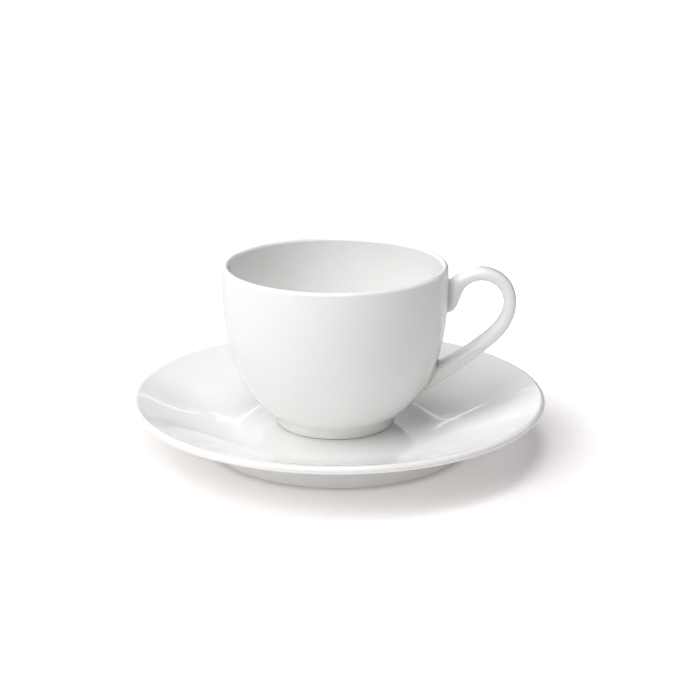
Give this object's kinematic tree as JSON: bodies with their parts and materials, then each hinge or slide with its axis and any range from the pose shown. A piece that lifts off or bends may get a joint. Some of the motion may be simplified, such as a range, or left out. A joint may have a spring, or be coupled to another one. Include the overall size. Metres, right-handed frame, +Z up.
{
  "type": "espresso cup with saucer",
  "caption": "Small round-bellied porcelain coffee cup with a looped ear handle, standing on its wide, gently dished saucer with a foot ring.",
  "frame": {"origin": "middle of the saucer's foot ring, on the plane that it stands on", "axes": "+Z up, +X towards the cup's handle, -Y towards the viewer"},
  "size_m": [0.12, 0.12, 0.0536],
  "materials": {
    "glazed_porcelain": "gloss",
    "fired_slip": "gloss"
  },
  "bodies": {
    "saucer": {"saucer": "glazed_porcelain"},
    "cup": {"cup_body": "glazed_porcelain", "handle": "glazed_porcelain", "upper_slip_joint": "fired_slip", "lower_slip_joint": "fired_slip"}
  },
  "joints": [
    {"name": "cup_lift", "type": "slide", "parent": "saucer", "child": "cup", "axis": [0, 0, 1], "range_m": [0, 0.08]}
  ]
}
